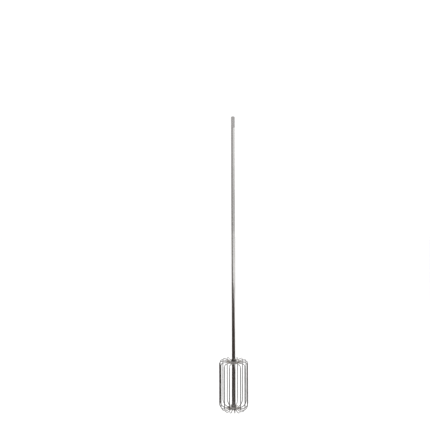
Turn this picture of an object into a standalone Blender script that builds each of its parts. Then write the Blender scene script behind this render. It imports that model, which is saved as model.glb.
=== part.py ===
"""A drill paint mixer: a wire cage on the end of a long round shaft, turned by a drill.

Metres, +Z up. The origin is the centre of the shank's end face, and the mixer hangs down from it
as it does in a chuck. Heights in the constants are measured up from the lowest point of the cage.
Each wire lies in a plane through the shaft's axis, and both of its ends are welded into sockets:
the upper ones in a flat collar, the lower ones in a tapered hub. Collar and hub slide onto the
shaft from below, over a long flat that turns them. A retaining ring stops the collar from above,
and a screw in the shaft's end holds the hub from below.
"""

import math

import bmesh
import bpy
from mathutils import Matrix, Vector

# Driving dimensions.
OVERALL_LENGTH = 0.600
CLEARANCE = 0.0003

SHAFT_RADIUS = 0.004
ROUND_SIDES = 48
HOLE_SIDES = 24
SOCKET_SIDES = 12
SHANK_LENGTH = 0.022
SHANK_ACROSS_FLATS = 0.007
SHANK_RUNOUT = 0.0012
END_CHAMFER = 0.0008
DRIVE_FLAT = 0.0032
DRIVE_FLAT_AZIMUTH = math.radians(90)

WIRE_COUNT = 16
WIRE_RADIUS = 0.0009
CAGE_RADIUS = 0.030
CAGE_HEIGHT = 0.100
TOP_BEND = 0.006
BOTTOM_BEND = 0.0125
TOP_SLOPE = math.radians(4)
BOTTOM_SLOPE = math.radians(25)
BEND_STEP = math.radians(13)

COLLAR_RADIUS = 0.0085
COLLAR_THICKNESS = 0.005
EDGE_BREAK = 0.0004
SOCKET_DEPTH = 0.0016

HUB_RADIUS = 0.0083
HUB_BELOW_WIRES = 0.0022
HUB_ABOVE_WIRES = 0.0028
NECK_RADIUS = 0.0059
NECK_HEIGHT = 0.003
WEB_THICKNESS = 0.0018
COUNTERBORE_RADIUS = 0.0046
COUNTERBORE_DEPTH = 0.0026

RING_THICKNESS = 0.001
RING_GROOVE_RADIUS = 0.00315
RING_RADIUS = 0.0060
RING_EAR_RADIUS = 0.0074
RING_EAR_HOLE = 0.0006
RING_OPENING = math.radians(52)
RING_EAR_ARC = math.radians(24)
RING_TAPER = 0.0006
RING_STEPS = 30

SCREW_RADIUS = 0.002
SCREW_LENGTH = 0.0107
SCREW_HEAD_RADIUS = 0.0038
SCREW_HEAD_HEIGHT = 0.0022
SCREW_SOCKET_ACROSS = 0.0025
SCREW_SOCKET_DEPTH = 0.0013
SCREW_CROWN_FLAT = 0.0019
SCREW_CROWN_HEIGHT = 0.00165
SCREW_CROWN_STEPS = 4
SCREW_TIP_CHAMFER = 0.0005
DRILL_POINT = math.radians(31)
WASHER_THICKNESS = 0.0009
WASHER_SPLIT = 0.0007

SEAM_THICKNESS = 0.0010
SEAM_WIDTH = 0.0042
SEAM_SHOULDER = 0.7
SEAM_SHOULDER_AT = 0.8

# Faces that meet at more than this are shaded with a sharp edge between them.
SHARP_ANGLE = math.radians(30)

# A quarter of the wires' spacing, so that seen along Y the far wires show between the near ones.
FIRST_WIRE_AZIMUTH = math.pi / WIRE_COUNT / 2


def clear_scene():
    """Remove whatever the scene holds."""
    for obj in list(bpy.data.objects):
        bpy.data.objects.remove(obj)


def steel(name, colour, roughness):
    """A steel material."""
    material = bpy.data.materials.new(name)
    material.use_nodes = True
    shader = material.node_tree.nodes["Principled BSDF"]
    shader.inputs["Base Color"].default_value = (*colour, 1.0)
    shader.inputs["Roughness"].default_value = roughness
    shader.inputs["Metallic"].default_value = 1.0
    return material


def add_object(name, data, material=None):
    """Link a mesh or curve into the scene under a node's name."""
    obj = bpy.data.objects.new(name, data)
    bpy.context.scene.collection.objects.link(obj)
    if material:
        data.materials.append(material)
    return obj


def shade(mesh):
    """Shade a mesh smooth but for its real edges."""
    mesh.shade_smooth()
    mesh.set_sharp_from_angle(angle=SHARP_ANGLE)


def finish_mesh(name, bm, material=None):
    """Turn a bmesh into an object with outward faces."""
    bmesh.ops.recalc_face_normals(bm, faces=bm.faces[:])
    mesh = bpy.data.meshes.new(name)
    bm.to_mesh(mesh)
    bm.free()
    shade(mesh)
    return add_object(name, mesh, material)


def height(above_cage_bottom):
    """The Z of a height that is measured up from the lowest point of the cage."""
    return above_cage_bottom - OVERALL_LENGTH


def around_z(angle):
    return Matrix.Rotation(angle, 4, "Z")


def turned(bm, outline, sides):
    """Spin a closed outline of (radius, z) points into a solid of revolution.

    Its corners start half a side from +X, which keeps them clear of the sockets' own corners.
    """
    across = math.cos(math.pi / sides)
    along = math.sin(math.pi / sides)
    corners = [bm.verts.new((radius * across, radius * along, z)) for radius, z in outline]
    edges = [bm.edges.new((a, b)) for a, b in zip(corners, corners[1:])]
    if outline[0][0] > 0.0:
        edges.append(bm.edges.new((corners[-1], corners[0])))
    bmesh.ops.spin(
        bm,
        geom=corners + edges,
        axis=(0.0, 0.0, 1.0),
        cent=(0.0, 0.0, 0.0),
        angle=2.0 * math.pi,
        steps=sides,
        use_merge=True,
    )
    bmesh.ops.remove_doubles(bm, verts=bm.verts[:], dist=1e-6)


def turned_part(name, outline, sides, material=None):
    """A turned object. An outline that starts on the axis also ends on it."""
    bm = bmesh.new()
    turned(bm, outline, sides)
    return finish_mesh(name, bm, material)


def lofted_part(name, sections, material=None):
    """A closed solid through rings of points that all have the same number of corners."""
    bm = bmesh.new()
    rings = [[bm.verts.new(point) for point in section] for section in sections]
    for low, high in zip(rings, rings[1:]):
        for k, corner in enumerate(low):
            after = (k + 1) % len(low)
            bm.faces.new((corner, low[after], high[after], high[k]))
    bm.faces.new(rings[0])
    bm.faces.new(rings[-1])
    return finish_mesh(name, bm, material)


def cut(obj, cutter):
    """Subtract a cutter, which stays hidden until settle_cuts removes it."""
    cutter.hide_render = True
    cutter.display_type = "WIRE"
    boolean = obj.modifiers.new("cut_" + cutter.name, "BOOLEAN")
    boolean.operation = "DIFFERENCE"
    boolean.solver = "EXACT"
    boolean.object = cutter


def in_order(mesh):
    """A copy of a mesh with its corners and its faces sorted.

    A Boolean lists them in an order that can change from run to run, and the triangles that a
    face with many corners is split into depend on that order.
    """
    points = sorted(tuple(vertex.co) for vertex in mesh.vertices)
    place = {point: number for number, point in enumerate(points)}
    faces = []
    for face in mesh.polygons:
        corners = [place[tuple(mesh.vertices[number].co)] for number in face.vertices]
        first = corners.index(min(corners))
        faces.append(corners[first:] + corners[:first])
    ordered = bpy.data.meshes.new(mesh.name)
    ordered.from_pydata(points, [], sorted(faces))
    shade(ordered)
    return ordered


def settle_cuts():
    """Make each cut piece's cuts its own mesh, and remove the cutters."""
    depsgraph = bpy.context.evaluated_depsgraph_get()
    pieces = [obj for obj in bpy.data.objects if obj.modifiers]
    meshes = [in_order(piece.evaluated_get(depsgraph).to_mesh()) for piece in pieces]
    for piece, mesh in zip(pieces, meshes):
        for material in piece.data.materials:
            mesh.materials.append(material)
        piece.modifiers.clear()
        piece.data = mesh
    for cutter in [obj for obj in bpy.data.objects if obj.hide_render]:
        bpy.data.objects.remove(cutter)


def prism(name, corners, low, high, material=None):
    """A straight prism between two heights, over (x, y) corners."""
    sections = [[(x, y, z) for x, y in corners] for z in (low, high)]
    return lofted_part(name, sections, material)


def section_ring(radius_at, z):
    """One ring of the shaft's corners at a height, with the radius given for each azimuth."""
    azimuths = [2.0 * math.pi * k / ROUND_SIDES for k in range(ROUND_SIDES)]
    return [(radius_at(a) * math.cos(a), radius_at(a) * math.sin(a), z) for a in azimuths]


def round_section(radius):
    return lambda azimuth: radius


def hexagon_section(across_flats, corner_radius):
    """A hexagon with a corner on +X, its corners rounded off by the bar it is milled from."""

    def radius_at(azimuth):
        from_flat = (azimuth % math.radians(60)) - math.radians(30)
        return min(corner_radius, across_flats / 2.0 / math.cos(from_flat))

    return radius_at


def flatted_section(radius, flat):
    """A circle with the drive flat on one side."""

    def radius_at(azimuth):
        toward_flat = math.cos(azimuth - DRIVE_FLAT_AZIMUTH)
        return flat / toward_flat if toward_flat * radius > flat else radius

    return radius_at


def wire_profile():
    """The wire's centreline as (radius, height) points, from its upper socket to its lower one."""
    line_radius = CAGE_RADIUS - WIRE_RADIUS
    top_bend = TOP_BEND - WIRE_RADIUS
    bottom_bend = BOTTOM_BEND - WIRE_RADIUS
    top_centre = Vector((line_radius - top_bend, CAGE_HEIGHT - TOP_BEND))
    bottom_centre = Vector((line_radius - bottom_bend, BOTTOM_BEND))
    top_arc = arc_points(top_centre, top_bend, math.pi / 2 + TOP_SLOPE, 0.0)
    bottom_arc = arc_points(bottom_centre, bottom_bend, 0.0, -math.pi / 2 - BOTTOM_SLOPE)
    return top_arc, bottom_arc


def arc_points(centre, radius, start, end):
    """Points along a bend, a little closer together than BEND_STEP."""
    steps = math.ceil(abs(end - start) / BEND_STEP)
    angles = [start + (end - start) * k / steps for k in range(steps + 1)]
    return [centre + radius * Vector((math.cos(a), math.sin(a))) for a in angles]


def straight_end(arc_end, slope, radius):
    """Where the straight run inward from a bend, at its slope, reaches a radius from the axis."""
    return Vector((radius, arc_end.y + (arc_end.x - radius) * math.tan(slope)))


def cage_layout():
    """Where the wires meet the collar and the hub, and the whole centreline between them."""
    top_arc, bottom_arc = wire_profile()
    top_inward = Vector((-math.cos(TOP_SLOPE), -math.sin(TOP_SLOPE)))
    bottom_inward = Vector((-math.cos(BOTTOM_SLOPE), math.sin(BOTTOM_SLOPE)))
    top_mouth = straight_end(top_arc[0], -TOP_SLOPE, COLLAR_RADIUS)
    bottom_mouth = straight_end(bottom_arc[-1], BOTTOM_SLOPE, HUB_RADIUS)
    reach = SOCKET_DEPTH - CLEARANCE
    line = [top_mouth + top_inward * reach, *top_arc, *bottom_arc, bottom_mouth + bottom_inward * reach]
    return {
        "line": line,
        "top": (top_mouth, top_inward),
        "bottom": (bottom_mouth, bottom_inward),
    }


def wire_azimuths():
    return [FIRST_WIRE_AZIMUTH + 2.0 * math.pi * k / WIRE_COUNT for k in range(WIRE_COUNT)]


def cage_wires(layout, material):
    """The wires, one object each, sharing one curve."""
    curve = bpy.data.curves.new("cage_wire", "CURVE")
    curve.dimensions = "3D"
    spline = curve.splines.new("POLY")
    spline.points.add(len(layout["line"]) - 1)
    for point, (radius, above) in zip(spline.points, layout["line"]):
        point.co = (radius, 0.0, height(above), 1.0)
    curve.bevel_depth = WIRE_RADIUS
    curve.bevel_resolution = 4
    curve.use_fill_caps = True
    curve.materials.append(material)
    for number, azimuth in enumerate(wire_azimuths(), start=1):
        wire = add_object(f"cage_wire_{number:02d}", curve)
        wire.rotation_euler.z = azimuth


def along_wire(mouth, inward, azimuth):
    """A frame at a socket's mouth: its +Z runs into the socket, along the wire."""
    direction = Vector((inward.x, 0.0, inward.y))
    place = Matrix.Translation((mouth.x, 0.0, height(mouth.y)))
    return around_z(azimuth) @ place @ direction.to_track_quat("Z", "Y").to_matrix().to_4x4()


def socket_cutter(name, mouth, inward):
    """Round holes for the wires' ends, all in one cutter."""
    bm = bmesh.new()
    for azimuth in wire_azimuths():
        bmesh.ops.create_cone(
            bm,
            cap_ends=True,
            segments=SOCKET_SIDES,
            radius1=WIRE_RADIUS + CLEARANCE,
            radius2=WIRE_RADIUS + CLEARANCE,
            depth=2.0 * SOCKET_DEPTH,
            matrix=along_wire(mouth, inward, azimuth),
        )
    return finish_mesh(name, bm)


def weld_seam(name, mouth, outward, sockets, material):
    """The seam of weld metal around a collar's side, with the wires passing through it."""
    side = Vector((-outward.y, outward.x))
    inner = CLEARANCE
    shoulder = CLEARANCE + SEAM_THICKNESS * SEAM_SHOULDER
    crown = CLEARANCE + SEAM_THICKNESS
    half = SEAM_WIDTH / 2
    shoulder_at = half * SEAM_SHOULDER_AT
    section = [
        (inner, -half),
        (shoulder, -shoulder_at),
        (crown, 0.0),
        (shoulder, shoulder_at),
        (inner, half),
    ]
    points = [mouth + outward * away + side * along for away, along in section]
    outline = [(point.x, height(point.y)) for point in points]
    cut(turned_part(name, outline, ROUND_SIDES, material), sockets)


def drive_bore(name, low, high):
    """The flatted bore that the shaft turns the collar or the hub by."""
    section = flatted_section(SHAFT_RADIUS + CLEARANCE, DRIVE_FLAT + CLEARANCE)
    return lofted_part(name, [section_ring(section, z) for z in (low, high)])


def upper_collar(layout, material, weld):
    """The collar at the top of the cage, and its seam. Returns the height of its top face."""
    mouth, inward = layout["top"]
    middle = (mouth + inward * SOCKET_DEPTH / 2).y
    low = height(middle - COLLAR_THICKNESS / 2)
    high = height(middle + COLLAR_THICKNESS / 2)
    inner = COLLAR_RADIUS - EDGE_BREAK
    outline = [
        (0.0, low),
        (inner, low),
        (COLLAR_RADIUS, low + EDGE_BREAK),
        (COLLAR_RADIUS, high - EDGE_BREAK),
        (inner, high),
        (0.0, high),
    ]
    collar = turned_part("upper_collar", outline, ROUND_SIDES, material)
    cut(collar, drive_bore("upper_collar_bore", low - COLLAR_THICKNESS, high + COLLAR_THICKNESS))
    sockets = socket_cutter("upper_sockets", mouth, inward)
    cut(collar, sockets)
    weld_seam("upper_weld_seam", mouth, Vector((1.0, 0.0)), sockets, weld)
    return middle + COLLAR_THICKNESS / 2


def hub_levels(layout):
    """The heights of the lower hub's faces."""
    mouth, _ = layout["bottom"]
    bottom = mouth.y - HUB_BELOW_WIRES
    web_low = bottom + COUNTERBORE_DEPTH
    web_high = web_low + WEB_THICKNESS
    flange_top = mouth.y + HUB_ABOVE_WIRES
    return {
        "bottom": bottom,
        "web_low": web_low,
        "web_high": web_high,
        "flange_top": flange_top,
        "neck_top": flange_top + NECK_HEIGHT,
    }


def lower_hub(layout, levels, material, weld):
    """The tapered hub at the bottom of the cage, its side square to the wires, and its seam."""
    mouth, inward = layout["bottom"]
    taper = math.tan(BOTTOM_SLOPE)
    bottom_radius = HUB_RADIUS - HUB_BELOW_WIRES * taper
    top_radius = HUB_RADIUS + HUB_ABOVE_WIRES * taper
    bottom = height(levels["bottom"])
    flange_top = height(levels["flange_top"])
    neck_top = height(levels["neck_top"])
    outline = [
        (0.0, bottom),
        (bottom_radius - EDGE_BREAK, bottom),
        (bottom_radius, bottom + EDGE_BREAK / 2),
        (top_radius, flange_top - EDGE_BREAK),
        (top_radius - EDGE_BREAK, flange_top),
        (NECK_RADIUS, flange_top),
        (NECK_RADIUS, neck_top - EDGE_BREAK),
        (NECK_RADIUS - EDGE_BREAK, neck_top),
        (0.0, neck_top),
    ]
    hub = turned_part("lower_hub", outline, ROUND_SIDES, material)
    web_low = height(levels["web_low"])
    web_high = height(levels["web_high"])
    screw_hole = SCREW_RADIUS + CLEARANCE
    below = bottom - CLEARANCE
    cut(hub, drive_bore("lower_hub_bore", web_high, neck_top + NECK_HEIGHT))
    counterbore = [(0.0, below), (COUNTERBORE_RADIUS, below), (COUNTERBORE_RADIUS, web_low), (0.0, web_low)]
    cut(hub, turned_part("counterbore", counterbore, HOLE_SIDES))
    hole_low = (web_low + bottom) / 2
    hole_high = (web_high + neck_top) / 2
    hole = [(0.0, hole_low), (screw_hole, hole_low), (screw_hole, hole_high), (0.0, hole_high)]
    cut(hub, turned_part("screw_hole", hole, HOLE_SIDES))
    sockets = socket_cutter("lower_sockets", mouth, inward)
    cut(hub, sockets)
    weld_seam("lower_weld_seam", mouth, -inward, sockets, weld)


def mixer_shaft(collar_top, levels, material):
    """The shaft: a hexagonal shank, a round bar, a ring groove and a flat for collar and hub."""
    end = height(levels["web_high"] + CLEARANCE)
    groove_low = height(collar_top)
    groove_high = groove_low + RING_THICKNESS + 2 * CLEARANCE
    shank_low = -SHANK_LENGTH
    full = round_section(SHAFT_RADIUS)
    groove = round_section(RING_GROOVE_RADIUS)
    flatted = flatted_section(SHAFT_RADIUS, DRIVE_FLAT)
    chamfered = flatted_section(SHAFT_RADIUS - END_CHAMFER / 2, DRIVE_FLAT)
    shank = hexagon_section(SHANK_ACROSS_FLATS, SHAFT_RADIUS)
    shank_end = hexagon_section(SHANK_ACROSS_FLATS - END_CHAMFER, SHAFT_RADIUS - END_CHAMFER)
    sections = [
        (chamfered, end),
        (flatted, end + END_CHAMFER / 2),
        (flatted, groove_low),
        (groove, groove_low),
        (groove, groove_high),
        (full, groove_high),
        (full, shank_low - SHANK_RUNOUT),
        (shank, shank_low),
        (shank, -END_CHAMFER),
        (shank_end, 0.0),
    ]
    shaft = lofted_part("mixer_shaft", [section_ring(*section) for section in sections], material)
    hole_radius = SCREW_RADIUS + CLEARANCE
    hole_end = height(levels["web_high"]) + SCREW_LENGTH
    hole = [
        (0.0, end - END_CHAMFER),
        (hole_radius, end - END_CHAMFER),
        (hole_radius, hole_end),
        (0.0, hole_end + hole_radius * math.tan(DRILL_POINT)),
    ]
    cut(shaft, turned_part("tapped_hole", hole, HOLE_SIDES))


def ring_outline():
    """The retaining ring from above: an ear at each end of its opening, and arms that thicken."""
    inner = RING_GROOVE_RADIUS + CLEARANCE
    start = RING_OPENING / 2
    end = 2.0 * math.pi - start
    half_ear = RING_EAR_ARC / 2
    arm_start = start + RING_EAR_ARC
    arm = end - RING_EAR_ARC - arm_start
    outer = [(start, RING_EAR_RADIUS), (start + half_ear, RING_EAR_RADIUS)]
    for k in range(RING_STEPS + 1):
        azimuth = arm_start + arm * k / RING_STEPS
        thinner = RING_TAPER * (1 + math.cos(azimuth)) / 2
        outer.append((azimuth, RING_RADIUS - thinner))
    outer += [(end - half_ear, RING_EAR_RADIUS), (end, RING_EAR_RADIUS)]
    bore = [(azimuth, inner) for azimuth, _ in reversed(outer)]
    return [(radius * math.cos(azimuth), radius * math.sin(azimuth)) for azimuth, radius in outer + bore]


def retaining_ring(collar_top, material):
    """The open ring that snaps into the groove above the collar, with a pliers' hole in each ear."""
    low = height(collar_top) + CLEARANCE
    ring = prism("upper_retaining_ring", ring_outline(), low, low + RING_THICKNESS, material)
    hole_circle = (RING_GROOVE_RADIUS + CLEARANCE + RING_EAR_RADIUS) / 2 + RING_EAR_HOLE
    hole_azimuth = (RING_OPENING + RING_EAR_ARC) / 2
    bm = bmesh.new()
    for azimuth in (hole_azimuth, -hole_azimuth):
        spot = Vector((hole_circle * math.cos(azimuth), hole_circle * math.sin(azimuth), low))
        bmesh.ops.create_cone(
            bm,
            cap_ends=True,
            segments=SOCKET_SIDES,
            radius1=RING_EAR_HOLE,
            radius2=RING_EAR_HOLE,
            depth=4.0 * RING_THICKNESS,
            matrix=Matrix.Translation(spot),
        )
    cut(ring, finish_mesh("ear_holes", bm))


def hub_end_screw(levels, material):
    """The low, round-headed screw with a hexagon socket, driven up into the shaft's end."""
    washer_low = levels["web_low"] - CLEARANCE - WASHER_THICKNESS
    head_top = height(washer_low - CLEARANCE)
    head_low = head_top - SCREW_HEAD_HEIGHT
    tip = height(levels["web_high"]) + SCREW_LENGTH - CLEARANCE
    outline = [(0.0, head_low)]
    for k in range(SCREW_CROWN_STEPS + 1):
        turn = math.radians(90) * k / SCREW_CROWN_STEPS
        radius = SCREW_CROWN_FLAT + (SCREW_HEAD_RADIUS - SCREW_CROWN_FLAT) * math.sin(turn)
        outline.append((radius, head_low + SCREW_CROWN_HEIGHT * (1 - math.cos(turn))))
    outline += [
        (SCREW_HEAD_RADIUS, head_top),
        (SCREW_RADIUS, head_top),
        (SCREW_RADIUS, tip - SCREW_TIP_CHAMFER),
        (SCREW_RADIUS - SCREW_TIP_CHAMFER, tip),
        (0.0, tip),
    ]
    screw = turned_part("hub_end_screw", outline, HOLE_SIDES, material)
    corner = SCREW_SOCKET_ACROSS / math.sqrt(3)
    turns = [math.radians(60) * k for k in range(6)]
    corners = [(corner * math.cos(a), corner * math.sin(a)) for a in turns]
    cut(screw, prism("screw_socket", corners, head_low - SCREW_SOCKET_DEPTH, head_low + SCREW_SOCKET_DEPTH))


def hub_lock_washer(levels, material):
    """A split spring washer, squeezed flat under the screw's head."""
    high = height(levels["web_low"] - CLEARANCE)
    low = high - WASHER_THICKNESS
    inner = SCREW_RADIUS + CLEARANCE
    outer = SCREW_HEAD_RADIUS
    outline = [(inner, low), (outer, low), (outer, high), (inner, high)]
    washer = turned_part("hub_lock_washer", outline, HOLE_SIDES, material)
    half = WASHER_SPLIT / 2
    lean = WASHER_THICKNESS
    corners = [(inner / 2, -half), (outer * 1.2, -half), (outer * 1.2, half), (inner / 2, half)]
    below = [(x, y - lean, low - lean) for x, y in corners]
    above = [(x, y + lean, high + lean) for x, y in corners]
    cut(washer, lofted_part("washer_split", [below, above]))


def build():
    """Make every piece of the mixer."""
    clear_scene()
    bright = steel("polished_steel", (0.66, 0.65, 0.63), 0.18)
    drawn = steel("bright_wire", (0.50, 0.49, 0.485), 0.15)
    machined = steel("turned_steel", (0.60, 0.59, 0.57), 0.28)
    spring = steel("spring_steel", (0.30, 0.29, 0.28), 0.35)
    screw_steel = steel("screw_steel", (0.55, 0.55, 0.56), 0.25)
    weld = steel("weld_metal", (0.45, 0.43, 0.40), 0.40)
    layout = cage_layout()
    levels = hub_levels(layout)
    collar_top = upper_collar(layout, machined, weld)
    mixer_shaft(collar_top, levels, bright)
    retaining_ring(collar_top, spring)
    lower_hub(layout, levels, machined, weld)
    hub_lock_washer(levels, spring)
    hub_end_screw(levels, screw_steel)
    cage_wires(layout, drawn)
    settle_cuts()


build()
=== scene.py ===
"""The drill paint mixer's visual model: smooth turned parts, bent wires, weld metal and their finishes.

Every piece is made in the CAD frame, in metres, with the origin at the shank's end and +Z up.
Heights and radii are read from the CAD nodes where they show them. The rest are the same driving
dimensions that the CAD model has. The mixer has one body, so every piece rides on "root".
"""

import math
import random

import bmesh
import bpy
from mathutils import Matrix, Vector


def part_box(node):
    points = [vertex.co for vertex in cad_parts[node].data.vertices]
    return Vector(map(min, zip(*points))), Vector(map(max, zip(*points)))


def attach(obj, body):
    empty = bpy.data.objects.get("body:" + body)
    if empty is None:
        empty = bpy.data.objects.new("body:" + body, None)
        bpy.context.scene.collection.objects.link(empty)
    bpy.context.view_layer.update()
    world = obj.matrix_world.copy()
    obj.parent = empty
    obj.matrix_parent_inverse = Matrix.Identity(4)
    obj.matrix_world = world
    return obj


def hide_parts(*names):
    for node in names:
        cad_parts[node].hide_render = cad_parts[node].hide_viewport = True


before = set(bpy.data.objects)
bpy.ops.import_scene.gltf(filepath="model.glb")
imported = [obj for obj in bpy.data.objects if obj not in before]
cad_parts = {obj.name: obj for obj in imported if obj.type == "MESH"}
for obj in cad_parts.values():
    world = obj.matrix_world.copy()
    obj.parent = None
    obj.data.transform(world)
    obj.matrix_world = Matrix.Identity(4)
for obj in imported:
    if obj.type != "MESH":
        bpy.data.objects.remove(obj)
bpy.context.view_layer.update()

SIDES = 96
HOLE_SIDES = 72
WIRE_SIDES = 20
WIRE_STRAIGHT_STEPS = 12
ARC_STEP = math.radians(3)
CURVE_STEPS = 8
CORNER_STEPS = 4
CLEARANCE = 0.0003
FINE_EDGE = 0.0001
GROOVE_WALL_RUN = 0.00003

SHAFT_RADIUS = 0.004
SHANK_ACROSS_FLATS = 0.007
SHANK_LENGTH = 0.022
SHANK_RUNOUT = 0.0012
SHANK_RUNOUT_DEPTH = 0.0008
END_CHAMFER = 0.0008
DRIVE_FLAT = 0.0032
DRIVE_FLAT_AZIMUTH = math.radians(90)
GROOVE_RADIUS = 0.00315

WIRE_COUNT = 16
WIRE_RADIUS = 0.0009
CAGE_RADIUS = 0.030
TOP_BEND = 0.006
BOTTOM_BEND = 0.0125
TOP_SLOPE = math.radians(4)
BOTTOM_SLOPE = math.radians(25)
FIRST_WIRE_AZIMUTH = math.pi / WIRE_COUNT / 2
WIRE_BOW = 0.00022

COLLAR_RADIUS = 0.0085
HUB_RADIUS = 0.0083
SOCKET_DEPTH = 0.0016
HUB_BELOW_WIRES = 0.0022
HUB_ABOVE_WIRES = 0.0028
NECK_RADIUS = 0.0059
NECK_HEIGHT = 0.003
WEB_THICKNESS = 0.0018
COUNTERBORE_RADIUS = 0.0046
COUNTERBORE_DEPTH = 0.0026
SCREW_RADIUS = 0.002
EDGE_ROUNDING = 0.0004

SCREW_CROWN_STEPS = 10
SCREW_CROWN_FLAT = 0.0019
SCREW_CROWN_HEIGHT = 0.00165
SCREW_HEAD_RADIUS = 0.0038
SCREW_HEAD_HEIGHT = 0.0022
SCREW_SOCKET_ACROSS = 0.0025
SCREW_SOCKET_DEPTH = 0.0013
SCREW_SOCKET_DISH = 0.0003
SCREW_SOCKET_TIP = 0.00002
SCREW_TIP_CHAMFER = 0.0005
WASHER_SPLIT = 0.0007

WELD_THICKNESS = 0.0012
WELD_WIDTH = 0.0042
WELD_FILLET = 0.0009
WELD_RIPPLE = 0.00007
WELD_RIPPLE_PITCH = 0.0009
WELD_RIPPLE_CURVE = 0.45
WELD_STEPS_PER_WIRE = 48
WELD_SECTION_STEPS = 14
WELD_WAVES = 6
WELD_WAVES_FROM = 5
WELD_WAVES_TO = 23
WELD_WIDTH_UNEVEN = 0.09
WELD_WIDTH_AT_WIRE = 0.10
WELD_HEIGHT_UNEVEN = 0.14
WELD_FILLET_REACH = 1.5 * WIRE_RADIUS
WELD_SMOOTH_BELOW = 60

# How far apart the turning tool's rings are on the collar and hub, and on the screw's head.
TOOL_RING_PITCH = 0.00012
SCREW_RING_PITCH = 0.0002

# Distances from the axis between which the wires turn straw, then grey, toward the welds.
STRAW_FROM = 0.0165
STRAW_FULL = 0.0115
OXIDE_FROM = 0.0122
OXIDE_FULL = 0.0098
TINT_EDGE_UNEVEN = 0.0012

CAMERA_PLACE = Vector((0.0, -0.8568, -0.1954))
CAMERA_LENS = 35.0
CAMERA_SENSOR = 36.0
CAMERA_CLIP_START = 0.01
CAMERA_YAW = math.radians(-2.48)
CAMERA_PITCH = math.radians(-0.36)
CAMERA_ROLL = math.radians(-0.21)
FLOOR_DROP = 0.35
FLOOR_REACH = 12.0
WHITE_STRENGTH = 1.12
WALL_SCALE = 1.7
WALL_DARK = (0.50, 0.49, 0.49)
WALL_LIGHT = (0.86, 0.86, 0.87)
WALL_DARK_AT = 0.38
WALL_LIGHT_AT = 0.60
CEILING = (0.30, 0.29, 0.30)
CEILING_FROM = math.radians(15)
CEILING_TO = math.radians(50)
SCREEN_STEPS = 64
SCREEN_OFF_FLOOR = 0.01
SCREEN_RADIUS = 0.62
SCREEN_REACH = math.radians(150)
SCREEN_LEVEL_TO = math.radians(50)
SCREEN_TOP = -0.47
SCREEN_FALL = 0.25
SCREEN_TALL_AT = math.radians(70)
SCREEN_TALL_SPREAD = math.radians(28)
SCREEN_TALL_BY = 0.50

# Each soft light's place, the length of its side, and its power in watts.
SOFT_LIGHTS = {
    "key_light": ((-1.6, -1.4, 1.3), 1.4, 8.0),
    "fill_light": ((1.9, -0.6, 0.7), 1.6, 6.0),
    "rim_light": ((0.5, 2.2, 0.9), 1.6, 9.0),
}

cage_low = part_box("cage_wire_01")[0].z
cage_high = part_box("cage_wire_01")[1].z
collar_low, collar_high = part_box("upper_collar")[0].z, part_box("upper_collar")[1].z
hub_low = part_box("lower_hub")[0].z
shaft_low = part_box("mixer_shaft")[0].z
washer_low, washer_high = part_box("hub_lock_washer")[0].z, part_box("hub_lock_washer")[1].z
screw_low, screw_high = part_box("hub_end_screw")[0].z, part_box("hub_end_screw")[1].z
ring_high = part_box("upper_retaining_ring")[1].z


# ---------------------------------------------------------------- shapes


def face_outward(mesh):
    """Turn all the faces of a closed mesh outward."""
    bm = bmesh.new()
    bm.from_mesh(mesh)
    bmesh.ops.recalc_face_normals(bm, faces=bm.faces[:])
    bm.to_mesh(mesh)
    bm.free()


def lofted(name, rings, material, node, around=False, crease=32):
    """A closed mesh through rings of points, for a CAD node that it replaces.

    With around set the last ring joins the first, as on a torus. Otherwise both ends are capped.
    """
    count = len(rings[0])
    points = [point for ring in rings for point in ring]
    faces = []
    for k in range(len(rings) if around else len(rings) - 1):
        low = k * count
        high = ((k + 1) % len(rings)) * count
        for j in range(count):
            after = (j + 1) % count
            faces.append((low + j, low + after, high + after, high + j))
    if not around:
        faces.append(tuple(reversed(range(count))))
        faces.append(tuple(range(len(points) - count, len(points))))
    mesh = bpy.data.meshes.new(name)
    mesh.from_pydata(points, [], faces)
    face_outward(mesh)
    mesh.shade_smooth()
    mesh.set_sharp_from_angle(angle=math.radians(crease))
    mesh.materials.append(material)
    piece = bpy.data.objects.new(name, mesh)
    bpy.context.scene.collection.objects.link(piece)
    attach(piece, "root")
    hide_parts(node)
    return piece


def round_at(radius):
    return lambda azimuth: radius


def hexagon_at(across_flats, corner_radius):
    """A hexagon with a corner on +X, whose corners keep the round of the bar."""

    def radius_at(azimuth):
        from_flat = (azimuth % math.radians(60)) - math.radians(30)
        return min(corner_radius, across_flats / 2 / math.cos(from_flat))

    return radius_at


def flatted_at(radius, flat):
    """A circle with the drive flat on one side."""

    def radius_at(azimuth):
        toward = math.cos(azimuth - DRIVE_FLAT_AZIMUTH)
        return flat / toward if toward * radius > flat else radius

    return radius_at


def smallest_of(first, second):
    return lambda azimuth: min(first(azimuth), second(azimuth))


def ring_of_points(radius_at, z, sides=SIDES):
    azimuths = [2 * math.pi * k / sides for k in range(sides)]
    return [(radius_at(a) * math.cos(a), radius_at(a) * math.sin(a), z) for a in azimuths]


def rounded_corner(centre, radius, start, end):
    """Profile points of a round edge, as (radius, z), between two angles in degrees."""
    shares = [k / CORNER_STEPS for k in range(CORNER_STEPS + 1)]
    angles = [math.radians(start + (end - start) * share) for share in shares]
    return [(centre[0] + radius * math.cos(a), centre[1] + radius * math.sin(a)) for a in angles]


def turned_rings(profile, sides=SIDES):
    """Rings for a profile of (radius, z) points, where a radius may be a function of azimuth."""
    rings = []
    for radius, z in profile:
        radius_at = radius if callable(radius) else round_at(radius)
        rings.append(ring_of_points(radius_at, z, sides))
    return rings


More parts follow.
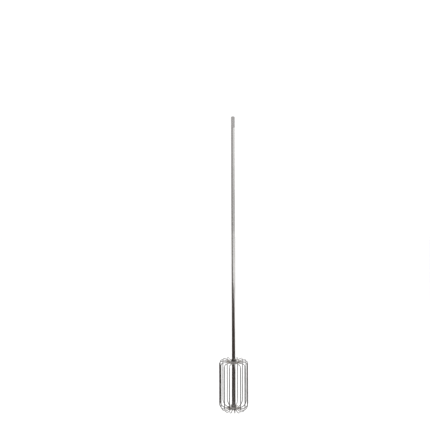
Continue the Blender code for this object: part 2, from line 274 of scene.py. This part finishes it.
def mixer_shaft(material):
    """The bar with its milled hexagon shank, turned end chamfers, ring groove and drive flat."""
    full = round_at(SHAFT_RADIUS)
    hexagon = hexagon_at(SHANK_ACROSS_FLATS, SHAFT_RADIUS)
    flatted = flatted_at(SHAFT_RADIUS, DRIVE_FLAT)
    lower_chamfer = END_CHAMFER / 2
    groove_top = ring_high + CLEARANCE
    profile = [
        (flatted_at(SHAFT_RADIUS - lower_chamfer, DRIVE_FLAT), shaft_low),
        (flatted, shaft_low + lower_chamfer),
        (flatted, collar_high),
        (GROOVE_RADIUS, collar_high + GROOVE_WALL_RUN),
        (GROOVE_RADIUS, groove_top),
        (full, groove_top + GROOVE_WALL_RUN),
        (full, -SHANK_LENGTH - SHANK_RUNOUT),
    ]
    for k in range(1, CURVE_STEPS + 1):
        turn = math.radians(90) * k / CURVE_STEPS
        rise = SHANK_RUNOUT_DEPTH * (1 - math.sin(turn))
        deeper = hexagon_at(SHANK_ACROSS_FLATS + 2 * rise, SHAFT_RADIUS)
        profile.append((deeper, -SHANK_LENGTH - SHANK_RUNOUT * math.cos(turn)))
    for k in range(CURVE_STEPS + 1):
        share = k / CURVE_STEPS
        cone = round_at(SHAFT_RADIUS - (END_CHAMFER + FINE_EDGE) * share)
        profile.append((smallest_of(hexagon, cone), -END_CHAMFER * (1 - share)))
    lofted("mixer_shaft_finished", turned_rings(profile), material, "mixer_shaft")


def upper_collar(material):
    """The flat collar with rounded edges and a flatted bore."""
    bore = flatted_at(SHAFT_RADIUS + CLEARANCE, DRIVE_FLAT + CLEARANCE)
    bore_mouth = flatted_at(SHAFT_RADIUS + 2 * CLEARANCE, DRIVE_FLAT + 2 * CLEARANCE)
    inner = COLLAR_RADIUS - EDGE_ROUNDING
    profile = [(bore, collar_low + CLEARANCE), (bore_mouth, collar_low)]
    profile += rounded_corner((inner, collar_low + EDGE_ROUNDING), EDGE_ROUNDING, -90, 0)
    profile += rounded_corner((inner, collar_high - EDGE_ROUNDING), EDGE_ROUNDING, 0, 90)
    profile += [(bore_mouth, collar_high), (bore, collar_high - CLEARANCE)]
    rings = turned_rings(profile)
    lofted("upper_collar_finished", rings, material, "upper_collar", around=True)


def lower_hub(material, mouth_z):
    """The tapered hub, with its neck, its counterbore and its flatted bore."""
    taper = math.tan(BOTTOM_SLOPE)
    flange_top = mouth_z + HUB_ABOVE_WIRES
    neck_top = flange_top + NECK_HEIGHT
    web_low = hub_low + COUNTERBORE_DEPTH
    web_high = web_low + WEB_THICKNESS
    low_radius = HUB_RADIUS - HUB_BELOW_WIRES * taper
    top_radius = HUB_RADIUS + HUB_ABOVE_WIRES * taper
    bore = flatted_at(SHAFT_RADIUS + CLEARANCE, DRIVE_FLAT + CLEARANCE)
    screw_hole = SCREW_RADIUS + CLEARANCE
    edge = EDGE_ROUNDING
    profile = [
        (COUNTERBORE_RADIUS, web_low),
        (COUNTERBORE_RADIUS, hub_low + edge / 2),
        (COUNTERBORE_RADIUS + edge / 2, hub_low),
    ]
    profile += rounded_corner((low_radius - edge, hub_low + edge), edge, -90, -25)
    profile += rounded_corner((top_radius - edge * 1.3, flange_top - edge), edge, -25, 90)
    profile += rounded_corner((NECK_RADIUS + edge, flange_top + edge), edge, 270, 180)
    profile += rounded_corner((NECK_RADIUS - edge, neck_top - edge), edge, 0, 90)
    profile += [
        (flatted_at(SHAFT_RADIUS + 2 * CLEARANCE, DRIVE_FLAT + 2 * CLEARANCE), neck_top),
        (bore, neck_top - CLEARANCE),
        (bore, web_high),
        (screw_hole, web_high),
        (screw_hole, web_low),
    ]
    rings = turned_rings(profile)
    lofted("lower_hub_finished", rings, material, "lower_hub", around=True)


def hub_end_screw(material):
    """The low crowned screw with a hexagon socket, looked at from below."""
    head_top = screw_low + SCREW_HEAD_HEIGHT
    corner = SCREW_SOCKET_ACROSS / math.sqrt(3)
    hexagon = hexagon_at(SCREW_SOCKET_ACROSS, corner)
    socket_end = screw_low + SCREW_SOCKET_DEPTH
    profile = [
        (SCREW_SOCKET_TIP, socket_end + SCREW_SOCKET_DISH),
        (hexagon, socket_end),
        (hexagon, screw_low + FINE_EDGE),
        (hexagon_at(SCREW_SOCKET_ACROSS + 2 * FINE_EDGE, corner + FINE_EDGE), screw_low),
    ]
    for k in range(SCREW_CROWN_STEPS + 1):
        turn = math.radians(90) * k / SCREW_CROWN_STEPS
        radius = SCREW_CROWN_FLAT + (SCREW_HEAD_RADIUS - SCREW_CROWN_FLAT) * math.sin(turn)
        profile.append((radius, screw_low + SCREW_CROWN_HEIGHT * (1 - math.cos(turn))))
    profile += [
        (SCREW_HEAD_RADIUS, head_top - FINE_EDGE),
        (SCREW_HEAD_RADIUS - FINE_EDGE, head_top),
        (SCREW_RADIUS, head_top),
        (SCREW_RADIUS, screw_high - SCREW_TIP_CHAMFER),
        (SCREW_RADIUS - SCREW_TIP_CHAMFER, screw_high),
    ]
    rings = turned_rings(profile, HOLE_SIDES)
    lofted("hub_end_screw_finished", rings, material, "hub_end_screw")


def hub_lock_washer(material):
    """The split spring washer: a square bar bent round, whose ends stand a little apart."""
    inner = SCREW_RADIUS + CLEARANCE
    outer = SCREW_HEAD_RADIUS
    edge = FINE_EDGE
    gap = WASHER_SPLIT / (inner + outer)
    section = [
        (inner + edge, washer_low),
        (outer - edge, washer_low),
        (outer, washer_low + edge),
        (outer, washer_high - edge),
        (outer - edge, washer_high),
        (inner + edge, washer_high),
        (inner, washer_high - edge),
        (inner, washer_low + edge),
    ]
    rings = []
    for k in range(HOLE_SIDES + 1):
        azimuth = gap + (2 * math.pi - 2 * gap) * k / HOLE_SIDES
        rings.append([(r * math.cos(azimuth), r * math.sin(azimuth), z) for r, z in section])
    lofted("hub_lock_washer_finished", rings, material, "hub_lock_washer")


def arc(centre, radius, start, end):
    """Points along a bend, from one angle to another."""
    steps = math.ceil(abs(end - start) / ARC_STEP)
    angles = [start + (end - start) * k / steps for k in range(steps + 1)]
    return [centre + radius * Vector((math.cos(a), math.sin(a))) for a in angles]


def wire_centreline():
    """The wire's line as (radius, z), and where it meets the collar and the hub."""
    line_radius = CAGE_RADIUS - WIRE_RADIUS
    top_bend = TOP_BEND - WIRE_RADIUS
    bottom_bend = BOTTOM_BEND - WIRE_RADIUS
    top_centre = Vector((line_radius - top_bend, cage_high - TOP_BEND))
    bottom_centre = Vector((line_radius - bottom_bend, cage_low + BOTTOM_BEND))
    top_arc = arc(top_centre, top_bend, math.pi / 2 + TOP_SLOPE, 0.0)
    bottom_arc = arc(bottom_centre, bottom_bend, 0.0, -math.pi / 2 - BOTTOM_SLOPE)
    top_run = top_arc[0].x - COLLAR_RADIUS
    bottom_run = bottom_arc[-1].x - HUB_RADIUS
    top_mouth = Vector((COLLAR_RADIUS, top_arc[0].y - top_run * math.tan(TOP_SLOPE)))
    bottom_mouth = Vector((HUB_RADIUS, bottom_arc[-1].y + bottom_run * math.tan(BOTTOM_SLOPE)))
    shares = [k / WIRE_STRAIGHT_STEPS for k in range(1, WIRE_STRAIGHT_STEPS)]
    straight = [top_arc[-1].lerp(bottom_arc[0], share) for share in shares]
    reach = SOCKET_DEPTH - CLEARANCE
    top_inward = Vector((-math.cos(TOP_SLOPE), -math.sin(TOP_SLOPE)))
    bottom_inward = Vector((-math.cos(BOTTOM_SLOPE), math.sin(BOTTOM_SLOPE)))
    line = [top_mouth + top_inward * reach, *top_arc, *straight, *bottom_arc]
    line.append(bottom_mouth + bottom_inward * reach)
    return line, top_mouth, bottom_mouth, bottom_inward


def cage_wires(line, material):
    """The wires, each bent over the same former and bowed a hair's breadth its own way."""
    spread = random.Random(7)
    top = max(point.y for point in line)
    low = min(point.y for point in line)
    for number in range(1, WIRE_COUNT + 1):
        azimuth = FIRST_WIRE_AZIMUTH + 2 * math.pi * (number - 1) / WIRE_COUNT
        bow_out = -spread.uniform(0.0, WIRE_BOW)
        bow_side = spread.uniform(-WIRE_BOW, WIRE_BOW)
        rings = []
        for k, point in enumerate(line):
            before = line[max(k - 1, 0)]
            after = line[min(k + 1, len(line) - 1)]
            along = (after - before).normalized()
            across = Vector((-along.y, along.x))
            share = math.sin(math.pi * (point.y - low) / (top - low))
            middle = Vector((point.x + bow_out * share, bow_side * share, point.y))
            ring = []
            for side in range(WIRE_SIDES):
                turn = 2 * math.pi * side / WIRE_SIDES
                swing = WIRE_RADIUS * math.cos(turn)
                offset = Vector((across.x * swing, WIRE_RADIUS * math.sin(turn), across.y * swing))
                ring.append(Matrix.Rotation(azimuth, 3, "Z") @ (middle + offset))
            rings.append(ring)
        name = f"cage_wire_{number:02d}"
        lofted(name + "_finished", rings, material, name)


def weld_seam(name, node, mouth, outward, material, seed):
    """The rippled weld metal around a collar or hub, which climbs a little way up each wire."""
    spread = random.Random(seed)
    waves = []
    for _ in range(WELD_WAVES):
        waves.append((spread.randint(WELD_WAVES_FROM, WELD_WAVES_TO), spread.uniform(0, 2 * math.pi)))
    side = Vector((-outward.y, outward.x))
    across = [-1 + 2 * k / WELD_SECTION_STEPS for k in range(WELD_SECTION_STEPS + 1)]
    steps = WIRE_COUNT * WELD_STEPS_PER_WIRE
    rings = []
    for k in range(steps):
        azimuth = 2 * math.pi * k / steps
        arc_length = azimuth * mouth.x
        pitch = 2 * math.pi / WIRE_COUNT
        from_wire = (azimuth - FIRST_WIRE_AZIMUTH + pitch / 2) % pitch - pitch / 2
        near_wire = math.exp(-((from_wire * mouth.x / WELD_FILLET_REACH) ** 2))
        uneven = sum(math.sin(n * azimuth + phase) for n, phase in waves) / len(waves)
        half = WELD_WIDTH / 2 * (1 + WELD_WIDTH_UNEVEN * uneven + WELD_WIDTH_AT_WIRE * near_wire)
        ring = []
        for s in across:
            crown = math.sqrt(max(1 - s * s, 0.0))
            behind = WELD_RIPPLE_CURVE * s * s
            ripple = math.sin(2 * math.pi * (arc_length / WELD_RIPPLE_PITCH + behind))
            away = crown * WELD_THICKNESS * (1 - WELD_HEIGHT_UNEVEN + WELD_HEIGHT_UNEVEN * uneven)
            away += crown ** 2 * (WELD_FILLET * near_wire + WELD_RIPPLE * ripple)
            spot = mouth + outward * away + side * half * s
            ring.append((spot.x * math.cos(azimuth), spot.x * math.sin(azimuth), spot.y))
        for s in (0.8, 0.0, -0.8):
            spot = mouth - outward * CLEARANCE / 2 + side * half * s
            ring.append((spot.x * math.cos(azimuth), spot.x * math.sin(azimuth), spot.y))
        rings.append(ring)
    lofted(name, rings, material, node, around=True, crease=WELD_SMOOTH_BELOW)


def retaining_ring(material):
    """The CAD ring keeps its shape. Its stamped edges are rounded over."""
    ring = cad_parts["upper_retaining_ring"]
    ring.data.materials.clear()
    ring.data.materials.append(material)
    edges = ring.modifiers.new("stamped_edges", "BEVEL")
    edges.width = FINE_EDGE
    edges.segments = 2
    edges.limit_method = "ANGLE"


# ---------------------------------------------------------------- finishes


class Finish:
    """A metal's shader, built up in layers over the CAD frame's own coordinates."""

    def __init__(self, name, colour, roughness, metallic=1.0):
        self.material = bpy.data.materials.new(name)
        self.material.use_nodes = True
        self.nodes = self.material.node_tree.nodes
        self.links = self.material.node_tree.links
        self.shader = self.nodes["Principled BSDF"]
        self.shader.inputs["Base Color"].default_value = (*colour, 1.0)
        self.shader.inputs["Roughness"].default_value = roughness
        self.shader.inputs["Metallic"].default_value = metallic
        self.place = self.nodes.new("ShaderNodeTexCoord").outputs["Object"]
        self.parts = self.nodes.new("ShaderNodeSeparateXYZ").outputs
        self.links.new(self.place, self.parts[0].node.inputs[0])
        self.height = None

    def feed(self, socket, value):
        if isinstance(value, bpy.types.NodeSocket):
            self.links.new(value, socket)
        elif isinstance(value, tuple):
            socket.default_value = (*value, 1.0)
        else:
            socket.default_value = value

    def noise(self, scale, detail=3.0, roughness=0.5):
        """Noise from 0 to 1, its grains one over scale metres long in X, Y and Z."""
        mapping = self.nodes.new("ShaderNodeMapping")
        mapping.inputs["Scale"].default_value = scale
        self.links.new(self.place, mapping.inputs["Vector"])
        texture = self.nodes.new("ShaderNodeTexNoise")
        texture.inputs["Scale"].default_value = 1.0
        texture.inputs["Detail"].default_value = detail
        texture.inputs["Roughness"].default_value = roughness
        self.links.new(mapping.outputs["Vector"], texture.inputs["Vector"])
        return texture.outputs["Fac"]

    def fit(self, value, low, high, to_low=0.0, to_high=1.0):
        node = self.nodes.new("ShaderNodeMapRange")
        self.feed(node.inputs["Value"], value)
        node.inputs["From Min"].default_value = low
        node.inputs["From Max"].default_value = high
        node.inputs["To Min"].default_value = to_low
        node.inputs["To Max"].default_value = to_high
        return node.outputs["Result"]

    def maths(self, operation, first, second=0.0):
        node = self.nodes.new("ShaderNodeMath")
        node.operation = operation
        self.feed(node.inputs[0], first)
        self.feed(node.inputs[1], second)
        return node.outputs[0]

    def radius(self):
        """The distance from the mixer's axis."""
        squares = [self.maths("MULTIPLY", self.parts[k], self.parts[k]) for k in (0, 1)]
        return self.maths("SQRT", self.maths("ADD", *squares))

    def blend(self, factor, first, second):
        node = self.nodes.new("ShaderNodeMix")
        node.data_type = "RGBA"
        self.feed(node.inputs["Factor"], factor)
        self.feed(node.inputs[6], first)
        self.feed(node.inputs[7], second)
        return node.outputs[2]

    def raise_by(self, height, depth):
        """Add relief: height runs from 0 to 1, and depth is in metres."""
        node = self.nodes.new("ShaderNodeBump")
        node.inputs["Distance"].default_value = depth
        self.feed(node.inputs["Height"], height)
        if self.height:
            self.links.new(self.height, node.inputs["Normal"])
        self.height = node.outputs["Normal"]

    def finish(self, colour=None, roughness=None):
        if colour:
            self.feed(self.shader.inputs["Base Color"], colour)
        if roughness:
            self.feed(self.shader.inputs["Roughness"], roughness)
        if self.height:
            self.links.new(self.height, self.shader.inputs["Normal"])
        return self.material


def polished_steel():
    """Ground and polished bar: fine rings, a few long scratches, and jaw marks on the shank."""
    steel = Finish("polished_bar", (0.66, 0.65, 0.63), 0.16)
    broad = steel.fit(steel.noise((90, 90, 22), 4.0), 0.35, 0.65)
    grinding = steel.noise((150, 150, 9000), 2.0)
    scratches = steel.fit(steel.noise((2600, 2600, 26), 3.0), 0.60, 0.72)
    handled = steel.fit(steel.noise((140, 140, 40), 5.0, 0.6), 0.52, 0.72)
    shank = steel.fit(steel.parts[2], -SHANK_LENGTH - SHANK_RUNOUT, -SHANK_LENGTH)
    milled = steel.maths("MULTIPLY", steel.noise((300, 300, 5000), 3.0), shank)
    colour = steel.blend(broad, (0.575, 0.565, 0.55), (0.645, 0.635, 0.62))
    colour = steel.blend(steel.maths("MULTIPLY", handled, 0.35), colour, (0.50, 0.475, 0.44))
    colour = steel.blend(steel.maths("MULTIPLY", milled, 0.5), colour, (0.45, 0.44, 0.43))
    rough = steel.fit(grinding, 0.3, 0.7, 0.12, 0.20)
    rough = steel.maths("ADD", rough, steel.maths("MULTIPLY", handled, 0.07))
    rough = steel.maths("ADD", rough, steel.maths("MULTIPLY", scratches, 0.12))
    rough = steel.maths("ADD", rough, steel.maths("MULTIPLY", shank, 0.12))
    steel.raise_by(grinding, 0.000002)
    steel.raise_by(scratches, 0.000004)
    steel.raise_by(milled, 0.000025)
    return steel.finish(colour, rough)


def bright_wire():
    """Bright stainless wire with drawing lines, dulled and heat-tinted toward the welds."""
    wire = Finish("drawn_wire_finish", (0.50, 0.49, 0.485), 0.14)
    patches = wire.fit(wire.noise((220, 220, 60), 4.0), 0.35, 0.7)
    drawn = wire.noise((3200, 3200, 70), 2.0)
    pits = wire.fit(wire.noise((1900, 1900, 1900), 2.0), 0.66, 0.74)
    uneven = wire.fit(patches, 0, 1, -TINT_EDGE_UNEVEN, TINT_EDGE_UNEVEN)
    from_axis = wire.maths("ADD", wire.radius(), uneven)
    straw = wire.fit(from_axis, STRAW_FROM, STRAW_FULL)
    oxide = wire.fit(from_axis, OXIDE_FROM, OXIDE_FULL)
    colour = wire.blend(patches, (0.52, 0.51, 0.505), (0.46, 0.45, 0.445))
    colour = wire.blend(wire.maths("MULTIPLY", straw, 0.55), colour, (0.44, 0.37, 0.28))
    colour = wire.blend(wire.maths("MULTIPLY", oxide, 0.8), colour, (0.22, 0.20, 0.21))
    rough = wire.fit(drawn, 0.3, 0.7, 0.09, 0.17)
    rough = wire.maths("ADD", rough, wire.maths("MULTIPLY", patches, 0.06))
    rough = wire.maths("ADD", rough, wire.maths("MULTIPLY", oxide, 0.22))
    wire.raise_by(drawn, 0.000003)
    wire.raise_by(pits, -0.00001)
    return wire.finish(colour, rough)


def turned_steel():
    """Turned steel: tool rings a tenth of a millimetre apart, tinted by the welds."""
    steel = Finish("turned_collar_steel", (0.60, 0.59, 0.57), 0.28)
    radius = steel.radius()
    along = steel.maths("ADD", radius, steel.parts[2])
    turns = steel.maths("MULTIPLY", along, 2 * math.pi / TOOL_RING_PITCH)
    rings = steel.fit(steel.maths("SINE", turns), -1, 1)
    patches = steel.fit(steel.noise((420, 420, 420), 4.0), 0.35, 0.65)
    chatter = steel.noise((1500, 1500, 4000), 2.0)
    welded = steel.fit(radius, 0.0066, 0.0088)
    tint = steel.maths("MULTIPLY", steel.maths("MULTIPLY", welded, patches), 0.5)
    colour = steel.blend(patches, (0.56, 0.55, 0.53), (0.64, 0.63, 0.61))
    colour = steel.blend(tint, colour, (0.40, 0.35, 0.29))
    rough = steel.fit(rings, 0, 1, 0.22, 0.32)
    rough = steel.maths("ADD", rough, steel.maths("MULTIPLY", patches, 0.08))
    steel.raise_by(rings, 0.000006)
    steel.raise_by(chatter, 0.000005)
    return steel.finish(colour, rough)


def spring_steel():
    """Dark, oiled spring steel, worn brighter in patches."""
    steel = Finish("oiled_spring_steel", (0.20, 0.19, 0.185), 0.40)
    worn = steel.fit(steel.noise((700, 700, 700), 4.0), 0.50, 0.72)
    grain = steel.noise((5200, 5200, 5200), 3.0)
    colour = steel.blend(worn, (0.17, 0.163, 0.158), (0.36, 0.35, 0.34))
    rough = steel.fit(grain, 0.3, 0.7, 0.32, 0.48)
    steel.raise_by(grain, 0.000006)
    return steel.finish(colour, rough)


def screw_steel():
    """Zinc plate: a faint blue cast with warmer patches, over the head's turning rings."""
    zinc = Finish("zinc_plated_screw", (0.55, 0.55, 0.56), 0.26)
    patches = zinc.fit(zinc.noise((650, 650, 650), 4.0), 0.35, 0.65)
    grain = zinc.noise((6500, 6500, 6500), 3.0)
    turns = zinc.maths("MULTIPLY", zinc.radius(), 2 * math.pi / SCREW_RING_PITCH)
    rings = zinc.fit(zinc.maths("SINE", turns), -1, 1)
    colour = zinc.blend(patches, (0.54, 0.56, 0.60), (0.60, 0.58, 0.53))
    rough = zinc.fit(grain, 0.3, 0.7, 0.20, 0.34)
    zinc.raise_by(rings, 0.000004)
    zinc.raise_by(grain, 0.000004)
    return zinc.finish(colour, rough)


def weld_metal():
    """Weld metal: dull silver, with straw and blue-grey oxide in patches."""
    weld = Finish("weld_bead_metal", (0.45, 0.43, 0.40), 0.40)
    patches = weld.fit(weld.noise((520, 520, 520), 5.0, 0.6), 0.38, 0.62)
    oxide = weld.fit(weld.noise((760, 760, 760), 4.0), 0.52, 0.66)
    grain = weld.noise((3400, 3400, 3400), 4.0, 0.6)
    colour = weld.blend(patches, (0.56, 0.55, 0.535), (0.45, 0.42, 0.38))
    colour = weld.blend(weld.maths("MULTIPLY", oxide, 0.7), colour, (0.20, 0.20, 0.24))
    rough = weld.fit(grain, 0.3, 0.7, 0.27, 0.50)
    weld.raise_by(grain, 0.00004)
    return weld.finish(colour, rough)


# ---------------------------------------------------------------- studio


def plain_floor():
    """A pale floor far enough below for the mixer to hang free of it."""
    floor = Finish("pale_floor_paint", (0.90, 0.90, 0.90), 0.8, metallic=0.0)
    floor.shader.inputs["Specular IOR Level"].default_value = 0.0
    mottled = floor.fit(floor.noise((3, 3, 3), 3.0), 0.3, 0.7)
    material = floor.finish(floor.blend(mottled, (0.90, 0.90, 0.90), (0.915, 0.915, 0.915)))
    mesh = bpy.data.meshes.new("studio_floor")
    level = cage_low - FLOOR_DROP
    signs = ((-1, -1), (1, -1), (1, 1), (-1, 1))
    corners = [(FLOOR_REACH * x, FLOOR_REACH * y, level) for x, y in signs]
    mesh.from_pydata(corners, [], [(0, 1, 2, 3)])
    mesh.materials.append(material)
    floor_object = bpy.data.objects.new("studio_floor", mesh)
    bpy.context.scene.collection.objects.link(floor_object)


def screen_top(bearing):
    """The screen's upper edge: low in front and at the sides, with a taller stretch on the left."""
    left = math.exp(-(((bearing + SCREEN_TALL_AT) / SCREEN_TALL_SPREAD) ** 2))
    outward = max(abs(bearing) - SCREEN_LEVEL_TO, 0.0)
    return SCREEN_TOP + SCREEN_TALL_BY * left - SCREEN_FALL * outward


def dark_screen():
    """A curved dark screen, low in front, that only reflections see.

    It stands taller on the left, so the bar's lower half mirrors it along its middle and the
    upper half only along its left edge.
    """
    foot = cage_low - FLOOR_DROP + SCREEN_OFF_FLOOR
    points = []
    for k in range(SCREEN_STEPS + 1):
        bearing = SCREEN_REACH * (2 * k / SCREEN_STEPS - 1)
        for z in (foot, screen_top(bearing)):
            points.append((SCREEN_RADIUS * math.sin(bearing), -SCREEN_RADIUS * math.cos(bearing), z))
    faces = [(2 * k, 2 * k + 2, 2 * k + 3, 2 * k + 1) for k in range(SCREEN_STEPS)]
    mesh = bpy.data.meshes.new("dark_screen")
    mesh.from_pydata(points, [], faces)
    mesh.shade_smooth()
    cloth = Finish("dark_screen_cloth", (0.040, 0.027, 0.023), 0.9, metallic=0.0)
    mesh.materials.append(cloth.finish())
    screen = bpy.data.objects.new("dark_screen", mesh)
    bpy.context.scene.collection.objects.link(screen)
    screen.visible_camera = False
    screen.visible_diffuse = False
    screen.visible_shadow = False
    screen.visible_transmission = False


def soft_light(name, place, size, power):
    """A square soft light that faces the middle of the mixer."""
    light = bpy.data.lights.new(name, "AREA")
    light.energy = power
    light.size = size
    lamp = bpy.data.objects.new(name, light)
    lamp.location = place
    aim = Vector((0.0, 0.0, cage_low / 2)) - Vector(place)
    lamp.rotation_euler = aim.to_track_quat("-Z", "Y").to_euler()
    bpy.context.scene.collection.objects.link(lamp)


def white_surround():
    """A white studio. Mirrored metal sees it as light grey walls under a darker ceiling."""
    world = bpy.data.worlds.new("studio")
    world.use_nodes = True
    bpy.context.scene.world = world
    nodes = world.node_tree.nodes
    links = world.node_tree.links
    plain = nodes["Background"]
    plain.inputs["Color"].default_value = (1.0, 1.0, 1.0, 1.0)
    plain.inputs["Strength"].default_value = WHITE_STRENGTH
    direction = nodes.new("ShaderNodeTexCoord").outputs["Generated"]
    texture = nodes.new("ShaderNodeTexNoise")
    texture.inputs["Scale"].default_value = WALL_SCALE
    texture.inputs["Detail"].default_value = 0.0
    links.new(direction, texture.inputs["Vector"])
    walls = nodes.new("ShaderNodeValToRGB")
    walls.color_ramp.elements[0].position = WALL_DARK_AT
    walls.color_ramp.elements[0].color = (*WALL_DARK, 1.0)
    walls.color_ramp.elements[1].position = WALL_LIGHT_AT
    walls.color_ramp.elements[1].color = (*WALL_LIGHT, 1.0)
    links.new(texture.outputs["Fac"], walls.inputs["Fac"])
    parts = nodes.new("ShaderNodeSeparateXYZ")
    links.new(direction, parts.inputs["Vector"])
    overhead = nodes.new("ShaderNodeMapRange")
    overhead.interpolation_type = "SMOOTHSTEP"
    overhead.inputs["From Min"].default_value = math.sin(CEILING_FROM)
    overhead.inputs["From Max"].default_value = math.sin(CEILING_TO)
    links.new(parts.outputs["Z"], overhead.inputs["Value"])
    room = nodes.new("ShaderNodeMix")
    room.data_type = "RGBA"
    links.new(overhead.outputs["Result"], room.inputs["Factor"])
    links.new(walls.outputs["Color"], room.inputs[6])
    room.inputs[7].default_value = (*CEILING, 1.0)
    mirrored = nodes.new("ShaderNodeBackground")
    links.new(room.outputs[2], mirrored.inputs["Color"])
    choice = nodes.new("ShaderNodeMixShader")
    links.new(nodes.new("ShaderNodeLightPath").outputs["Is Glossy Ray"], choice.inputs["Fac"])
    links.new(plain.outputs["Background"], choice.inputs[1])
    links.new(mirrored.outputs["Background"], choice.inputs[2])
    links.new(choice.outputs["Shader"], nodes["World Output"].inputs["Surface"])


def camera():
    """The photograph's viewpoint: a little below the shank, and looking slightly down."""
    data = bpy.data.cameras.new("camera")
    data.lens = CAMERA_LENS
    data.sensor_width = CAMERA_SENSOR
    data.clip_start = CAMERA_CLIP_START
    eye = bpy.data.objects.new("camera", data)
    level = Matrix.Rotation(math.radians(90), 4, "X")
    turn = Matrix.Rotation(-CAMERA_YAW, 4, "Z")
    tilt = Matrix.Rotation(CAMERA_PITCH, 4, "X")
    roll = Matrix.Rotation(CAMERA_ROLL, 4, "Z")
    eye.matrix_world = Matrix.Translation(CAMERA_PLACE) @ turn @ tilt @ level @ roll
    bpy.context.scene.collection.objects.link(eye)
    bpy.context.scene.camera = eye


def build():
    """Make every piece and the studio around it."""
    line, top_mouth, bottom_mouth, bottom_inward = wire_centreline()
    turned = turned_steel()
    spring = spring_steel()
    weld = weld_metal()
    mixer_shaft(polished_steel())
    upper_collar(turned)
    lower_hub(turned, bottom_mouth.y)
    hub_end_screw(screw_steel())
    hub_lock_washer(spring)
    retaining_ring(spring)
    cage_wires(line, bright_wire())
    weld_seam("upper_weld_bead", "upper_weld_seam", top_mouth, Vector((1.0, 0.0)), weld, 3)
    weld_seam("lower_weld_bead", "lower_weld_seam", bottom_mouth, -bottom_inward, weld, 5)
    plain_floor()
    dark_screen()
    white_surround()
    for name, (place, size, power) in SOFT_LIGHTS.items():
        soft_light(name, place, size, power)
    camera()


build()
bpy.context.scene.view_settings.view_transform = "Standard"
